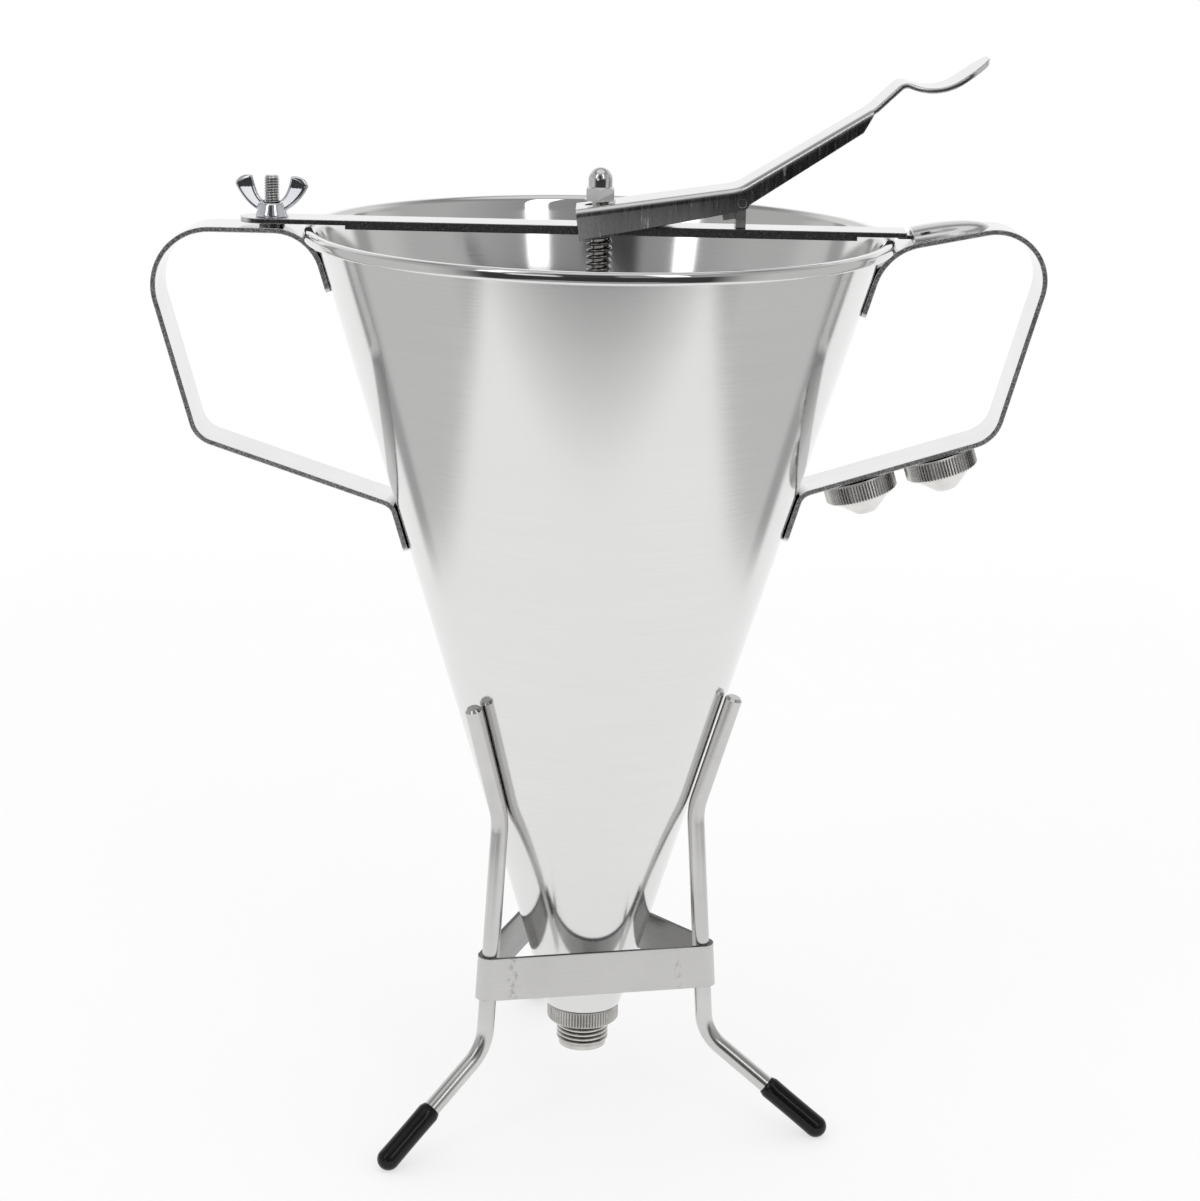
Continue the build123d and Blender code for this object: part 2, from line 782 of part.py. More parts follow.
os.makedirs("parts", exist_ok=True)
for name, shape in parts.items():
    export_step(shape, f"parts/{name}.step")
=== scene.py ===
import math

import bmesh
import bpy
from mathutils import Matrix, Vector


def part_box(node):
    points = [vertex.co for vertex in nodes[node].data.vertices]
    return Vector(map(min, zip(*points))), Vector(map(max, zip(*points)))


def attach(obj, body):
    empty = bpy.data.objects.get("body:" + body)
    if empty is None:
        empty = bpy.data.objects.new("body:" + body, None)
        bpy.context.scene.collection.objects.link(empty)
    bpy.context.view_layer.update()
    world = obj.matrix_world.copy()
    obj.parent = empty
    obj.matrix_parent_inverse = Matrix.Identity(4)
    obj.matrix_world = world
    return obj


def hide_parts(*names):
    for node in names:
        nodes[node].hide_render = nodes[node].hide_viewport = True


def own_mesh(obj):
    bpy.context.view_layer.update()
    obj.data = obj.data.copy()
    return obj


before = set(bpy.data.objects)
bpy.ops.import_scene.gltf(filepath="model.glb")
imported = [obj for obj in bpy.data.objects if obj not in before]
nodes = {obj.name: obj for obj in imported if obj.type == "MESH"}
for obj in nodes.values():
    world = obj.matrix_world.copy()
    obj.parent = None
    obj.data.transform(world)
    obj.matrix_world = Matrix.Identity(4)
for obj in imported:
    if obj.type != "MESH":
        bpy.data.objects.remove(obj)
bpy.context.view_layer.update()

scene = bpy.context.scene

# Sizes of the object, in metres and degrees

MOUTH = 0.2875
CONE_RADIUS = 0.0865
CONE_SLOPE = 0.294325
CONE_WALL = 0.000938
CONE_FOOT = 0.0355
BEAD_CIRCLE = 0.08815
BEAD_RADIUS = 0.00185
STUD = Vector((-0.0998, 0, 0))
STUD_PITCH = 0.0008
STUD_GROOVE = 0.00045
STUD_CHAMFER = 0.0007
NUT_SEAT = 0.2912
NUT_TURN = -8.0
SPRING_TOP = 0.2896
SPRING_FOOT = 0.2543
SPRING_WIRE = 0.0011
SPRING_OUTSIDE = 0.0079
SPRING_TURNS = 18
LEVER_NOSE = -0.007
SHEEN_END = 0.006
FLANGE_END = 0.0807
LEG_TURNS = {"left": 222.0, "right": 342.0, "rear": 102.0}
LEG_CIRCLE = 0.04
LEG_KNEE = (0.042, 0.030)
LEG_FOOT = (0.0805, 0.0032)
SLEEVE_RADIUS = 0.0036
SLEEVE_LENGTH = 0.0207
SLEEVE_BORE = 0.00276

# Numbers that the finishes share

NOISE_LOW, NOISE_HIGH = 0.3, 0.7
BRUSH_LINES = 2600.0
LINE_DEPTH = 0.00003
LINE_STRENGTH = 0.04

# Camera

CAMERA_PLACE = (0.00269, -0.7937, 0.3936)
CAMERA_PITCH = 15.6
CAMERA_ROLL = 1.3
CAMERA_LENS = 77.93
CAMERA_SENSOR = 36


def set_camera():
    """Camera a little above the mouth, looking down and slightly rolled."""
    pitch, roll = math.radians(CAMERA_PITCH), math.radians(CAMERA_ROLL)
    ahead = Vector((0, math.cos(pitch), -math.sin(pitch)))
    level_up = Vector((0, math.sin(pitch), math.cos(pitch)))
    side = Vector((1, 0, 0))
    right = side * math.cos(roll) + level_up * math.sin(roll)
    up = level_up * math.cos(roll) - side * math.sin(roll)
    data = bpy.data.cameras.new("camera")
    data.sensor_width = CAMERA_SENSOR
    data.lens = CAMERA_LENS
    data.clip_start, data.clip_end = 0.01, 50
    camera = bpy.data.objects.new("camera", data)
    turn = Matrix((right, up, -ahead)).transposed().to_4x4()
    camera.matrix_world = Matrix.Translation(CAMERA_PLACE) @ turn
    scene.collection.objects.link(camera)
    scene.camera = camera


# Shader nodes


def add(tree, kind, inputs=None, **settings):
    """One shader node; an input is a value or the socket that feeds it."""
    node = tree.nodes.new("ShaderNode" + kind)
    for key, value in settings.items():
        setattr(node, key, value)
    for key, value in (inputs or {}).items():
        if isinstance(value, bpy.types.NodeSocket):
            tree.links.new(value, node.inputs[key])
        else:
            node.inputs[key].default_value = value
    return node


def math_node(tree, operation, first, second=0.0):
    return add(tree, "Math", {0: first, 1: second}, operation=operation).outputs[0]


def times(tree, first, second):
    return math_node(tree, "MULTIPLY", first, second)


def dot(tree, first, second):
    return add(tree, "VectorMath", {0: first, 1: second}, operation="DOT_PRODUCT").outputs["Value"]


def remap(tree, value, low, high, new_low=0.0, new_high=1.0):
    inputs = {"Value": value, "From Min": low, "From Max": high, "To Min": new_low, "To Max": new_high}
    return add(tree, "MapRange", inputs).outputs["Result"]


def spread(tree, grain, low, high):
    """Value that goes from low to high with a noise."""
    return remap(tree, grain, NOISE_LOW, NOISE_HIGH, low, high)


def between(tree, value, start, full, fall, end):
    """1 from full to fall, fading to 0 at start and end."""
    return times(tree, remap(tree, value, start, full), remap(tree, value, fall, end, 1.0, 0.0))


def grey(level):
    return (level, level, level, 1)


def ramp(tree, value, stops):
    """Colour ramp with stops of (place, colour), where a colour may be one grey level."""
    node = add(tree, "ValToRGB", {"Fac": value})
    elements = node.color_ramp.elements
    while len(elements) < len(stops):
        elements.new(0.5)
    for element, (place, colour) in zip(elements, stops):
        element.position = place
        element.color = grey(colour) if isinstance(colour, float) else (*colour, 1)
    return node.outputs["Color"]


def shaded(tree, grain, dark, bright):
    """Colour that goes from dark to bright with a noise."""
    return ramp(tree, grain, [(NOISE_LOW, dark), (NOISE_HIGH, bright)])


def placed(tree):
    return add(tree, "TexCoord").outputs["Object"]


def stretched(tree, scale):
    """Object coordinates with a scale for each axis."""
    return add(tree, "VectorMath", {0: placed(tree), 1: scale}, operation="MULTIPLY").outputs[0]


def round_axis(tree, around, along):
    """Coordinates that follow marks running round the Z axis, and the height."""
    split = add(tree, "SeparateXYZ", {0: placed(tree)}).outputs
    angle = math_node(tree, "ARCTAN2", split["X"], times(tree, split["Y"], -1.0))
    vector = {0: times(tree, angle, around), 2: times(tree, split["Z"], along)}
    return add(tree, "CombineXYZ", vector).outputs[0], split["Z"]


def noise(tree, vector, scale=1.0, detail=3.0, roughness=0.55):
    inputs = {"Vector": vector, "Scale": scale, "Detail": detail, "Roughness": roughness}
    return add(tree, "TexNoise", inputs).outputs["Fac"]


def edged(tree, radius):
    """Normal that rounds the sheet's hard edges a little."""
    return add(tree, "Bevel", {"Radius": radius}, samples=4).outputs[0]


def bumped(tree, height, strength, distance, normal=None):
    inputs = {"Height": height, "Strength": strength, "Distance": distance}
    if normal is not None:
        inputs["Normal"] = normal
    return add(tree, "Bump", inputs).outputs[0]


def mixed_colour(tree, share, first, second, blend="MIX"):
    inputs = {0: share, 6: first, 7: second}
    return add(tree, "Mix", inputs, data_type="RGBA", blend_type=blend).outputs[2]


def mixed_value(tree, share, first, second):
    return add(tree, "Mix", {0: share, 2: first, 3: second}).outputs[0]


def true_normal(tree):
    return add(tree, "NewGeometry").outputs["True Normal"]


def facing(tree, normal, axis, start, full):
    """0 to 1 where a normal points along an axis, either way."""
    part = add(tree, "SeparateXYZ", {0: normal}).outputs[axis]
    return remap(tree, math_node(tree, "ABSOLUTE", part), start, full)


def started(name, metallic=1.0):
    material = bpy.data.materials.new(name)
    material.use_nodes = True
    shader = material.node_tree.nodes["Principled BSDF"]
    shader.inputs["Metallic"].default_value = metallic
    return material, material.node_tree, shader


def feed(tree, shader, **sockets):
    for name, value in sockets.items():
        key = name.replace("_", " ").title()
        if isinstance(value, bpy.types.NodeSocket):
            tree.links.new(value, shader.inputs[key])
        else:
            shader.inputs[key].default_value = value


# Materials


def spun_sheet():
    """Cone: brushed round the axis, with a polished bead at the rim."""
    bead_start, bead_full, bead_gloss = MOUTH - 0.0032, MOUTH - 0.0022, 0.4
    material, tree, shader = started("spun_sheet")
    lines, height = round_axis(tree, around=1.0, along=BRUSH_LINES)
    broad, _ = round_axis(tree, around=0.8, along=90.0)
    fine = noise(tree, lines, detail=4.0, roughness=0.6)
    slow = noise(tree, broad, detail=2.0, roughness=0.5)
    bead = remap(tree, height, bead_start, bead_full)
    brushed = times(tree, spread(tree, fine, 0.1, 0.145), remap(tree, bead, 0.0, 1.0, 1.0, bead_gloss))
    mixed = math_node(tree, "ADD", times(tree, fine, 0.7), times(tree, slow, 0.3))
    colour = shaded(tree, mixed, dark=(0.735, 0.732, 0.728), bright=(0.775, 0.772, 0.768))
    tangent = add(tree, "Tangent", direction_type="RADIAL", axis="Z").outputs[0]
    depth = times(tree, fine, remap(tree, bead, 0.0, 1.0, 1.0, 0.0))
    feed(tree, shader, base_color=colour, roughness=brushed, anisotropic=0.5, anisotropic_rotation=0.25,
         tangent=tangent, normal=bumped(tree, depth, LINE_STRENGTH, LINE_DEPTH))
    return material


def sheared_edge(tree, shade, glint):
    """Colour and roughness of a dull sheared edge: its grey is partly the cut steel's own and partly
    painted shade, and its bright specks are painted glints.
    """
    specks = noise(tree, stretched(tree, (2000.0, 500.0, 2000.0)), detail=4.0, roughness=0.7)
    colour = ramp(tree, specks, [(0.42, shade / 2), (0.58, shade), (0.74, glint)])
    return colour, remap(tree, specks, 0.4, 0.65, 0.4, 0.65)


def weld_marks(tree):
    """Small scorched patches on the front of the band, near its two ends."""
    left, right = [Vector((math.cos(turn), math.sin(turn), 0)) * LEG_CIRCLE
                   for turn in (math.radians(LEG_TURNS[side]) for side in ("left", "right"))]
    along = (right - left).normalized()
    out = Vector((along.y, -along.x, 0))
    from_left = add(tree, "VectorMath", {0: placed(tree), 1: left}, operation="SUBTRACT").outputs[0]
    share = math_node(tree, "DIVIDE", dot(tree, from_left, along), (right - left).length)
    places = ramp(tree, share, [(0.06, 0.0), (0.09, 1.0), (0.11, 1.0), (0.14, 0.0),
                                (0.85, 0.0), (0.87, 0.7), (0.88, 0.7), (0.9, 0.0)])
    on_front = remap(tree, dot(tree, true_normal(tree), out), 0.9, 0.97)
    scorch = noise(tree, stretched(tree, (900.0, 900.0, 420.0)), roughness=0.6)
    return times(tree, times(tree, places, on_front), remap(tree, scorch, 0.52, 0.66, 0.0, 0.75))


def inward(tree):
    """1 on faces that look towards the Z axis, where the band gets its painted inner shade."""
    fade = 0.004
    level = stretched(tree, (1.0, 1.0, 0.0))
    return remap(tree, dot(tree, true_normal(tree), level), -fade, fade, 1.0, 0.0)


def flat_steel(name, across, dark, bright, rough, edge, bevel, welds_and_inner_shade=False):
    """Strip with fine drawn lines side by side along an axis, and sheared edges where it faces that way."""
    scorched, inner_shade = (0.3, 0.29, 0.28, 1), (0.28, 0.278, 0.275, 1)
    material, tree, shader = started(name)
    scale = [25.0] * 3
    scale["XYZ".index(across)] = BRUSH_LINES
    fine = noise(tree, stretched(tree, scale), roughness=0.6)
    cloud = noise(tree, placed(tree), 60.0)
    face = shaded(tree, mixed_value(tree, 0.4, fine, cloud), dark, bright)
    if welds_and_inner_shade:
        face = mixed_colour(tree, weld_marks(tree), face, scorched)
        # painted shade: the band's inner face, which looks into the funnel, gets a darker colour
        face = mixed_colour(tree, inward(tree), face, inner_shade)
    rounded = edged(tree, bevel)
    cut = facing(tree, rounded, across, 0.8, 0.95)
    # partly painted shade and painted glints on faces along the lines' axis, over the cut steel's own dull
    # grey
    sheared, dull = sheared_edge(tree, *edge)
    feed(tree, shader, base_color=mixed_colour(tree, cut, face, sheared),
         roughness=mixed_value(tree, cut, spread(tree, fine, *rough), dull),
         normal=bumped(tree, fine, LINE_STRENGTH, LINE_DEPTH, rounded))
    return material


def scratched_channel():
    """Lever: bright smooth web and thumb rest, and side walls with upright scratches whose dark colour is
    painted shade.
    """
    rest_bevel, flange_bevel = 0.0008, 0.0004
    nose_sheen, scratched = (0.5, 0.5, 0.51, 1), (0.9, 0.9, 0.91, 1)
    material, tree, shader = started("scratched_channel")
    fine = noise(tree, stretched(tree, (25.0, 2400.0, 25.0)), roughness=0.6)
    cloud = noise(tree, placed(tree), 70.0)
    along = add(tree, "SeparateXYZ", {0: placed(tree)}).outputs["X"]
    short = remap(tree, along, FLANGE_END - 0.001, FLANGE_END, 1.0, 0.0)
    rounded = edged(tree, remap(tree, short, 0.0, 1.0, rest_bevel, flange_bevel))
    wall = times(tree, facing(tree, rounded, "Y", 0.75, 0.97), short)
    brush = noise(tree, stretched(tree, (1500.0, 60.0, 110.0)), roughness=0.6)
    patches = noise(tree, stretched(tree, (150.0, 60.0, 330.0)), detail=2.0)
    marks = times(tree, remap(tree, brush, 0.6, 0.7, 0.0, 0.8), remap(tree, patches, 0.54, 0.64))
    marks = times(tree, marks, wall)
    face = shaded(tree, mixed_value(tree, 0.5, fine, cloud),
                  dark=(0.68, 0.68, 0.675), bright=(0.78, 0.78, 0.775))
    # painted shade: walls facing either way along Y get a dark copy of the metal
    dark = ramp(tree, brush, [(0.35, (0.17, 0.17, 0.176)), (0.65, (0.25, 0.25, 0.258))])
    # painted highlight: the side walls are painted lighter towards the nose
    sheened_wall = mixed_colour(tree, remap(tree, along, LEVER_NOSE, SHEEN_END, 0.5, 0.0), dark, nose_sheen)
    side = mixed_colour(tree, marks, sheened_wall, scratched)
    scuffed = math_node(tree, "ADD", remap(tree, brush, 0.35, 0.65, 0.2, 0.3), times(tree, marks, 0.2))
    gloss = mixed_value(tree, wall, spread(tree, fine, 0.1, 0.16), scuffed)
    depth = math_node(tree, "SUBTRACT", times(tree, fine, 0.1), marks)
    feed(tree, shader, base_color=mixed_colour(tree, wall, face, side), roughness=gloss,
         normal=bumped(tree, depth, 0.3, 0.00005, rounded))
    return material


def drawn_wire():
    """Legs: satin drawn wire, faint lines along its length."""
    material, tree, shader = started("drawn_wire")
    fine = noise(tree, stretched(tree, (1900.0, 1900.0, 12.0)), detail=2.0, roughness=0.5)
    cloud = noise(tree, placed(tree), 45.0)
    colour = shaded(tree, cloud, dark=(0.54, 0.535, 0.525), bright=(0.66, 0.655, 0.645))
    feed(tree, shader, base_color=colour, roughness=spread(tree, cloud, 0.15, 0.24),
         normal=bumped(tree, fine, LINE_STRENGTH, LINE_DEPTH))
    return material


def turned_metal(name, dark, bright, rough, groove=0.35, deep=0.25):
    """Plated turned piece: fine turning marks, painted shade down in the grooves."""
    edge_bevel, groove_reach, unshaded = 0.00015, 0.0012, deep + 0.55
    material, tree, shader = started(name)
    fine = noise(tree, stretched(tree, (300.0, 300.0, 1800.0)))
    metal = shaded(tree, noise(tree, placed(tree), 220.0), dark, bright)
    # painted shade: ambient occlusion darkens the colour in the grooves, down to the groove level
    open_sky = add(tree, "AmbientOcclusion", {"Distance": groove_reach}, samples=6).outputs["AO"]
    shade = ramp(tree, open_sky, [(deep, groove), (unshaded, 1.0)])
    feed(tree, shader, base_color=mixed_colour(tree, 1.0, metal, shade, "MULTIPLY"),
         roughness=spread(tree, fine, *rough),
         normal=bumped(tree, fine, 0.08, LINE_DEPTH, edged(tree, edge_bevel)))
    return material


def cast_metal(name, dark, bright, rough):
    """Plated casting: bright, with a faint orange-peel surface."""
    material, tree, shader = started(name)
    peel = noise(tree, placed(tree), 700.0, detail=2.0)
    colour = ramp(tree, noise(tree, placed(tree), 160.0), [(0.35, dark), (0.65, bright)])
    feed(tree, shader, base_color=colour, roughness=spread(tree, peel, *rough),
         normal=bumped(tree, peel, 0.03, 0.0002))
    return material


def dipped_plastic():
    """Foot sleeves: glossy black plastic with a slightly uneven skin and scuffs."""
    material, tree, shader = started("dipped_plastic", metallic=0.0)
    skin = noise(tree, placed(tree), 420.0, detail=2.0)
    scuff = noise(tree, placed(tree), 1500.0, detail=4.0, roughness=0.7)
    colour = ramp(tree, scuff, [(0.45, (0.004, 0.004, 0.005)), (0.75, (0.01, 0.01, 0.011))])
    feed(tree, shader, base_color=colour, roughness=remap(tree, scuff, 0.4, 0.7, 0.05, 0.1),
         normal=bumped(tree, skin, 0.05, 0.0003))
    shader.inputs["Specular IOR Level"].default_value = 0.25
    return material


def moulded_rubber():
    """Seal ring: dull black rubber with a fine grain."""
    material, tree, shader = started("moulded_rubber", metallic=0.0)
    grain = noise(tree, placed(tree), 1800.0)
    colour = ramp(tree, grain, [(0.35, 0.012), (0.65, 0.03)])
    feed(tree, shader, base_color=colour, roughness=spread(tree, grain, 0.45, 0.65),
         normal=bumped(tree, grain, 0.2, 0.0001))
    return material


# Meshes


def finished(name, mesh, material, body, slot, *replaced):
    """Put a mesh in the scene as a piece that rides on a body and stands for CAD nodes."""
    mesh.shade_smooth()
    mesh.set_sharp_from_angle(angle=math.radians(40))
    mesh.materials.clear()
    mesh.materials.append(material)
    piece = bpy.data.objects.new(name, mesh)
    scene.collection.objects.link(piece)
    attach(piece, body)
    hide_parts(*replaced)
    return piece


def skinned(name, rings, closed_ends=True):
    """Mesh from rings of points, each ring joined to the next."""
    made = bmesh.new()
    grid = [[made.verts.new(point) for point in ring] for ring in rings]
    count = len(grid[0])
    for lower, upper in zip(grid, grid[1:]):
        for step in range(count):
            after = (step + 1) % count
            made.faces.new((lower[step], lower[after], upper[after], upper[step]))
    if closed_ends:
        made.faces.new(list(reversed(grid[0])))
        made.faces.new(grid[-1])
    bmesh.ops.recalc_face_normals(made, faces=made.faces)
    mesh = bpy.data.meshes.new(name)
    made.to_mesh(mesh)
    made.free()
    return mesh


def full_turn(count):
    return [2 * math.pi * step / count for step in range(count)]


def ring_at(centre, side, up, radius, count):
    return [centre + (side * math.cos(turn) + up * math.sin(turn)) * radius for turn in full_turn(count)]


def lathed(name, profile, count, place=Matrix()):
    """Mesh turned about the Z axis from a closed line of (radius, height) points, then put in its place."""
    rings = [[place @ Vector((radius * math.cos(turn), radius * math.sin(turn), height))
              for turn in full_turn(count)] for radius, height in profile]
    return skinned(name, rings + rings[:1], closed_ends=False)


def bezier(points, share):
    """Point at a share of the way along a cubic curve."""
    a, b, c, d = (Vector(point) for point in points)
    rest = 1 - share
    return a * rest ** 3 + b * 3 * share * rest ** 2 + c * 3 * share ** 2 * rest + d * share ** 3


def spun_cone(material):
    """Funnel cone, with the sheet rolled out over the wire at its mouth."""
    centre, bead_power = Vector((BEAD_CIRCLE, MOUTH)), 2 / 3
    bead_start, bead_sweep = 120, 255
    roll_foot, roll_steps, bead_steps, around = MOUTH - 0.0006, 10, 30, 360
    up_wall, onto_bead = Vector((0.282, 0.959)) * 0.0013, Vector((0.866, 0.5)) * 0.0008

    def on_bead(turn):
        """Point of the bead, which is rolled a little square."""
        flat = [math.copysign(abs(part) ** bead_power, part) for part in (math.cos(turn), math.sin(turn))]
        return centre + Vector(flat) * BEAD_RADIUS

    def outside(height):
        return CONE_RADIUS - (MOUTH - height) * CONE_SLOPE

    start = Vector((outside(roll_foot) - CONE_WALL, roll_foot))
    end = on_bead(math.radians(bead_start))
    roll = [start, start + up_wall, end - onto_bead, end]
    foot = [CONE_FOOT, CONE_FOOT + 0.0005, CONE_FOOT + 0.002]
    inner = foot + [MOUTH - 0.006, MOUTH - 0.0025, MOUTH - 0.0012]
    outer = [MOUTH - 0.0016, MOUTH - 0.0022, MOUTH - 0.004] + foot[::-1]
    profile = [(outside(height) - CONE_WALL, height) for height in inner]
    profile += [tuple(bezier(roll, step / roll_steps)) for step in range(roll_steps)]
    profile += [tuple(on_bead(math.radians(bead_start - bead_sweep * step / bead_steps)))
                for step in range(bead_steps + 1)]
    profile += [(outside(height), height) for height in outer]
    mesh = lathed("spun_cone", profile, around)
    finished("spun_cone", mesh, material, "funnel", "sheet_steel", "funnel_cone")


def coil_spring(material):
    """Compression spring with its end turns closed down."""
    per_turn, around = 44, 12
    closed_turns, closed_pace = 0.75, 0.45
    radius = (SPRING_OUTSIDE - SPRING_WIRE) / 2
    length = SPRING_TOP - SPRING_FOOT
    rise = length - SPRING_WIRE
    steps = SPRING_TURNS * per_turn

    def eased(step):
        from_end = min(step, steps - step)
        return closed_pace if from_end < closed_turns * per_turn else 1.0

    pace = [eased(step + 0.5) for step in range(steps)]
    total = sum(pace)
    height = SPRING_FOOT + SPRING_WIRE / 2
    line = []
    for step in range(steps + 1):
        turn = 2 * math.pi * step / per_turn
        line.append(Vector((radius * math.cos(turn), radius * math.sin(turn), height)))
        if step < steps:
            height += rise * pace[step] / total
    rings = []
    for step, point in enumerate(line):
        way = (line[min(step + 1, steps)] - line[max(step - 1, 0)]).normalized()
        out = Vector((point.x, point.y, 0)).normalized()
        rings.append(ring_at(point, out, way.cross(out), SPRING_WIRE / 2, around))
    mesh = skinned("spring_coil", rings)
    piece = finished("spring_coil", mesh, material, "funnel", "spring_steel", "return_spring")
    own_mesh(piece)


def threaded_stud(material):
    """Stud with a helical thread and a chamfered top."""
    around, rows = 48, 190
    chamfer_slope, root_half, flank, roundness = 0.9, 0.08, 0.36, 1.2
    low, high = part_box("clamp_stud")
    crest = (high.x - low.x) / 2
    rings = []
    for row in range(rows + 1):
        height = low.z + (high.z - low.z) * row / rows
        limit = crest - max(0.0, height - (high.z - STUD_CHAMFER)) * chamfer_slope
        ring = []
        for step, turn in enumerate(full_turn(around)):
            phase = ((height - low.z) / STUD_PITCH - step / around) % 1.0
            wave = min(1.0, max(0.0, (abs(phase - 0.5) - root_half) / flank))
            radius = min(limit, crest - STUD_GROOVE * (1 - wave) ** roundness)
            ring.append(Vector((STUD.x + radius * math.cos(turn), radius * math.sin(turn), height)))
        rings.append(ring)
    finished("stud_thread", skinned("stud_thread", rings), material, "funnel", "bar_steel", "clamp_stud")


def fused(name, meshes, voxel, passes):
    """One mesh from several that overlap, with their joins and corners rounded off as a casting has them.
    """
    made = bmesh.new()
    for mesh in meshes:
        made.from_mesh(mesh)
    mesh = bpy.data.meshes.new(name)
    made.to_mesh(mesh)
    made.free()
    block = bpy.data.objects.new(name + "_block", mesh)
    scene.collection.objects.link(block)
    remesh = block.modifiers.new("remesh", "REMESH")
    remesh.mode = "VOXEL"
    remesh.voxel_size = voxel
    smooth = block.modifiers.new("smooth", "SMOOTH")
    smooth.iterations = passes
    rounded = bpy.data.meshes.new_from_object(block.evaluated_get(bpy.context.evaluated_depsgraph_get()))
    bpy.data.objects.remove(block)
    return rounded


def nut_wing(side, place):
    """One wing of the nut, in millimetres: it thins from its root up to a crease, and has a rounded top."""
    outer = [(0, 0.8), (4.6, 0.8), (9.0, 4.4), (11.4, 9.2)]
    inner = [(0, 4.2), (3.2, 4.2), (4.8, 6.6), (5.9, 12.2)]
    top = [(11.4, 9.2), (11.4, 11.6), (8.4, 12.9), (5.9, 12.2)]
    crease, thin, root_growth, tip_growth = 8.9, 0.9, 0.13, 0.04
    along, over, cross, least_rounding, fullness = 30, 8, 14, 0.02, 6
    rings = []
    for row in range(along + over + 1):
        share = min(1.0, row / along)
        cap = max(0.0, (row - along) / over)
        rounding = math.sqrt(max(least_rounding, 1 - cap ** 2))
        middle = []
        for step in range(cross + 1):
            part = step / cross
            point = bezier(outer, share).lerp(bezier(inner, share), part)
            if cap:
                point = point.lerp(bezier(top, part), cap)
            below = crease - point.y
            half = thin + (root_growth * below if below > 0 else -tip_growth * below)
            middle.append((point, half * rounding * (1 - abs(2 * part - 1) ** fullness) ** 0.5))
        front = [(point, -size) for point, size in middle]
        back = [(point, size) for point, size in reversed(middle[1:-1])]
        rings.append([place @ Vector((side * point.x, size, point.y)) for point, size in front + back])
    return skinned("nut_wing", rings)


def cast_wing_nut(material):
    """Wing nut: conical hub and two petal wings run together."""
    millimetre, around, voxel, passes = 0.001, 72, 0.00014, 6
    turned_to = Matrix.Rotation(math.radians(NUT_TURN), 4, "Z")
    place = Matrix.Translation((STUD.x, 0, NUT_SEAT)) @ turned_to @ Matrix.Scale(millimetre, 4)
    profile = [(2.5, 0.0), (4.9, 0.0), (5.2, 0.3), (5.15, 0.8),
               (3.95, 3.8), (3.6, 4.2), (3.2, 4.3), (2.5, 4.2)]
    hub = lathed("nut_hub", profile, around, place)
    shape = fused("cast_wing_nut", [hub, nut_wing(1, place), nut_wing(-1, place)], voxel, passes)
    finished("cast_wing_nut", shape, material, "wing_nut", "zinc_plate", "wing_nut")


def foot_sleeve(side, material):
    """Pushed-on sleeve: rolled lip at its open end, round nose, flat where it stands."""
    lip = [(-0.003, SLEEVE_BORE), (-0.0004, SLEEVE_BORE), (0.0, 0.00284), (0.0001, 0.00296),
           (-0.0001, 0.0031), (-0.0012, 0.0035), (-0.0016, SLEEVE_RADIUS)]
    waist, tip, nose_steps, around = 0.00008, 0.00002, 12, 40
    turn = math.radians(LEG_TURNS[side])
    out = Vector((math.cos(turn), math.sin(turn), 0))
    knee, foot = [out * reach + Vector((0, 0, height)) for reach, height in (LEG_KNEE, LEG_FOOT)]
    back = (knee - foot).normalized()
    across = Vector((-math.sin(turn), math.cos(turn), 0))
    up = across.cross(back)
    profile = [(SLEEVE_LENGTH + along, size) for along, size in lip]
    profile += [(SLEEVE_LENGTH * share, SLEEVE_RADIUS - waist * math.sin(math.pi * share))
                for share in (0.8, 0.6, 0.4, 0.2, 0.05)]
    for step in range(nose_steps + 1):
        bend = math.radians(90 * step / nose_steps)
        profile.append((-SLEEVE_RADIUS * math.sin(bend), max(SLEEVE_RADIUS * math.cos(bend), tip)))
    rings = []
    for along, size in profile:
        ring = ring_at(foot + back * along, across, up, size, around)
        rings.append([Vector((point.x, point.y, max(point.z, 0.0))) for point in ring])
    mesh = skinned("sleeve_" + side, rings, closed_ends=False)
    finished("sleeve_" + side, mesh, material, "stand", "black_sleeve", "foot_" + side)


# Looks of each piece

spun = spun_sheet()
strap = flat_steel("polished_strap", "Y", dark=0.72, bright=0.84, rough=(0.06, 0.12),
                   edge=(0.52, 0.95), bevel=0.0005)
bar = flat_steel("polished_bar", "Y", dark=0.68, bright=0.8, rough=(0.08, 0.16),
                 edge=(0.13, 0.4), bevel=0.0005)
band = flat_steel("brushed_band", "Z", dark=(0.54, 0.535, 0.53), bright=(0.62, 0.615, 0.61),
                  rough=(0.2, 0.28), edge=(0.24, 0.6), bevel=0.0003, welds_and_inner_shade=True)
channel = scratched_channel()
wire = drawn_wire()
turned = turned_metal("turned_steel", dark=(0.58, 0.57, 0.55), bright=(0.72, 0.71, 0.69),
                      rough=(0.14, 0.24), groove=0.25)
nickel = turned_metal("nickel_plate", dark=(0.54, 0.53, 0.51), bright=(0.68, 0.67, 0.645),
                      rough=(0.15, 0.25), groove=0.08, deep=0.4)
knurled = turned_metal("knurled_nickel", dark=(0.66, 0.65, 0.63), bright=(0.78, 0.77, 0.75),
                       rough=(0.15, 0.25), groove=0.5)
zinc = cast_metal("zinc_plate", dark=(0.78, 0.8, 0.84), bright=(0.88, 0.89, 0.92), rough=(0.07, 0.12))
capped = cast_metal("chromed_nut", dark=0.7, bright=0.8, rough=(0.06, 0.12))
dark_wire = turned_metal("spring_wire", dark=(0.24, 0.235, 0.23), bright=(0.38, 0.372, 0.365),
                         rough=(0.2, 0.3))
stud_thread = turned_metal("stud_thread", dark=0.66, bright=0.8, rough=(0.12, 0.2), groove=0.03)
pin_steel = turned_metal("pin_steel", dark=(0.12, 0.12, 0.124), bright=(0.2, 0.2, 0.205),
                         rough=(0.22, 0.34))
black = dipped_plastic()
rubber = moulded_rubber()

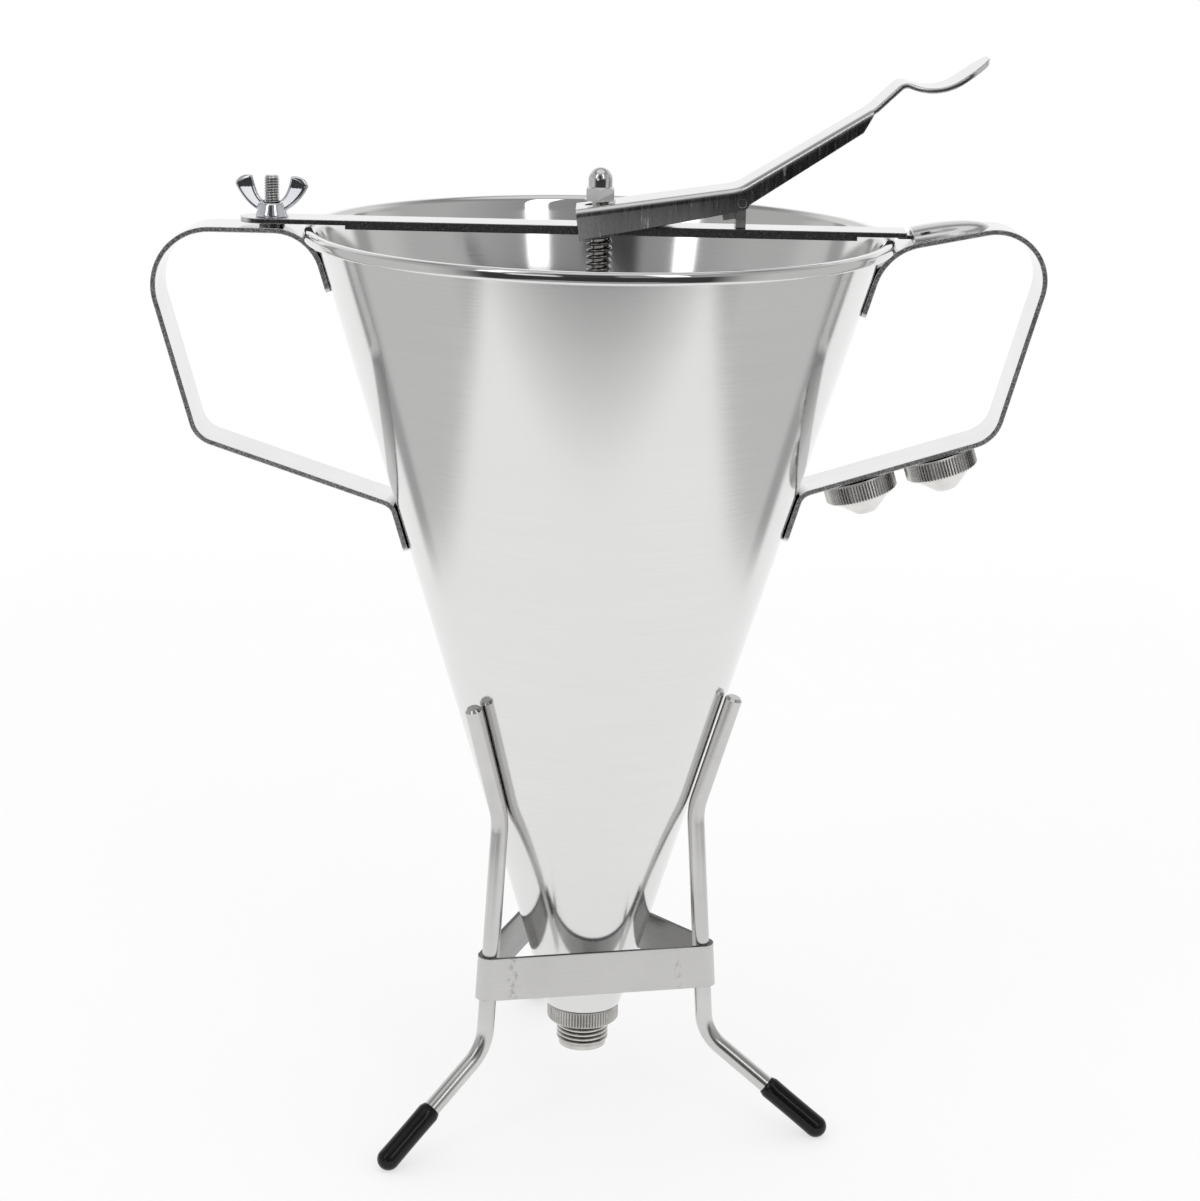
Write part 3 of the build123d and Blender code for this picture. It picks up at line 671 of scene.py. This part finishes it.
looks = {
    "funnel_cone": spun, "outlet_spout": nickel, "handle_left": strap, "handle_right": strap,
    "nozzle_bosses": turned, "nozzle_small": knurled, "nozzle_medium": knurled, "crossbar": bar,
    "clamp_stud": turned, "stud_spacer": dark_wire, "wing_nut": zinc, "lever": channel,
    "fulcrum_post": dark_wire, "fulcrum_pin": pin_steel, "piston_rod": turned, "cap_nut": capped,
    "nut_washer": capped, "return_spring": dark_wire, "spring_washer": turned, "spring_pin": turned,
    "valve_plug": turned, "seal_ring": rubber, "stand_band": band, "leg_left": wire,
    "leg_right": wire, "leg_rear": wire, "foot_left": black, "foot_right": black, "foot_rear": black,
}
for name, look in looks.items():
    for slot in nodes[name].material_slots:
        slot.material = look

spun_cone(spun)
coil_spring(dark_wire)
threaded_stud(stud_thread)
cast_wing_nut(zinc)
for side in LEG_TURNS:
    foot_sleeve(side, black)


# Studio


def floor():
    """Pale table top that fades out at its edges."""
    place, size, lift_share = (0, -0.125, -0.0002), (0.72, 1.75, 1), 0.6
    front_to_back = [(0.0, 0.0), (0.06, 0.35), (0.335, 0.35), (0.405, 1.0), (0.9, 1.0), (1.0, 0.0)]
    bpy.ops.mesh.primitive_plane_add(size=1, location=place)
    top = bpy.context.active_object
    top.name = "table_top"
    top.scale = size
    material, tree, shader = started("pale_table", metallic=0.0)
    split = add(tree, "SeparateXYZ", {0: placed(tree)}).outputs
    sides = remap(tree, math_node(tree, "ABSOLUTE", split["X"]), 0.43, 0.5, 1.0, 0.0)
    ends = ramp(tree, math_node(tree, "ADD", split["Y"], 0.5), front_to_back)
    colour = shaded(tree, noise(tree, placed(tree), 40.0), dark=0.94, bright=0.95)
    path = add(tree, "LightPath").outputs
    metal = math_node(tree, "MAXIMUM", path["Is Glossy Ray"], path["Is Transmission Ray"])
    lift = times(tree, math_node(tree, "MAXIMUM", path["Is Camera Ray"], metal), lift_share)
    feed(tree, shader, base_color=colour, roughness=0.9)
    white = add(tree, "Emission", {"Color": grey(1.0), "Strength": 1.0}).outputs[0]
    lit = add(tree, "MixShader", {0: lift, 1: shader.outputs[0], 2: white}).outputs[0]
    clear = add(tree, "BsdfTransparent").outputs[0]
    both = add(tree, "MixShader", {0: times(tree, sides, ends), 1: clear, 2: lit}).outputs[0]
    tree.links.new(both, tree.nodes["Material Output"].inputs["Surface"])
    material.cycles.emission_sampling = "NONE"
    top.data.materials.append(material)


def studio_world():
    """Plain white light, in which metal shows a soft studio: dim camera side, grey walls, white back."""
    wall_levels = [(0.0, 0.04), (0.24, 0.05), (0.32, 0.5), (0.38, 0.62), (0.655, 0.62),
                   (0.675, 0.4), (0.715, 0.4), (0.74, 1.0), (1.0, 1.0)]
    upper_levels = [(0.0, 0.2), (0.06, 0.3), (0.2, 0.34), (0.4, 0.5), (0.6, 0.5), (0.72, 0.8), (1.0, 0.8)]
    crown_level, ceiling_level, opening_level, panel_level = grey(0.3), grey(0.8), grey(0.06), grey(0.95)
    wall_fade = 0.08
    world = bpy.data.worlds.new("studio")
    world.use_nodes = True
    world.cycles.sampling_method = "NONE"
    tree = world.node_tree
    tree.nodes.clear()
    split = add(tree, "SeparateXYZ", {0: add(tree, "TexCoord").outputs["Generated"]}).outputs
    height = split["Z"]
    turn = math_node(tree, "ARCTAN2", split["X"], times(tree, split["Y"], -1.0))
    share = math_node(tree, "DIVIDE", math_node(tree, "ABSOLUTE", turn), math.pi)
    wall_top = remap(tree, share, 0.4, 0.7, 0.1, 0.32)
    above = remap(tree, height, wall_top, math_node(tree, "ADD", wall_top, wall_fade))
    sky = mixed_colour(tree, above, ramp(tree, share, wall_levels), ramp(tree, share, upper_levels))
    sky = mixed_colour(tree, remap(tree, height, 0.6, 0.8), sky, crown_level)
    sky = mixed_colour(tree, remap(tree, height, 0.84, 0.92), sky, ceiling_level)
    opening = times(tree, between(tree, turn, -0.36, -0.28, 0.1, 0.16),
                    between(tree, height, 0.1, 0.18, 0.66, 0.74))
    sky = mixed_colour(tree, opening, sky, opening_level)
    panel = times(tree, between(tree, turn, -0.62, -0.56, -0.28, -0.22),
                  between(tree, height, 0.01, 0.04, 0.24, 0.3))
    sky = mixed_colour(tree, panel, sky, panel_level)
    studio = add(tree, "Background", {"Color": sky, "Strength": 1.0}).outputs[0]
    plain = add(tree, "Background", {"Color": grey(1.0), "Strength": 1.0}).outputs[0]
    glossy = add(tree, "LightPath").outputs["Is Glossy Ray"]
    both = add(tree, "MixShader", {0: glossy, 1: plain, 2: studio}).outputs[0]
    tree.links.new(both, add(tree, "OutputWorld").inputs["Surface"])
    scene.world = world


def strip_light(name, azimuth, elevation=38, distance=1.5, width=0.26, height=1.0, power=1.5):
    """Tall soft light aimed at the mouth; azimuth 0 is the camera's side."""
    turn, lift = math.radians(azimuth), math.radians(elevation)
    away = Vector((math.sin(turn) * math.cos(lift), -math.cos(turn) * math.cos(lift), math.sin(lift)))
    data = bpy.data.lights.new(name, "AREA")
    data.shape = "RECTANGLE"
    data.size, data.size_y = width, height
    data.energy = power
    lamp = bpy.data.objects.new(name, data)
    lamp.location = Vector((0, 0, MOUTH)) + away * distance
    lamp.rotation_euler = (-away).to_track_quat("-Z", "Y").to_euler()
    scene.collection.objects.link(lamp)


set_camera()
floor()
studio_world()
strip_light("strip_right", azimuth=30)
strip_light("strip_left", azimuth=-42)
scene.view_settings.view_transform = "Standard"
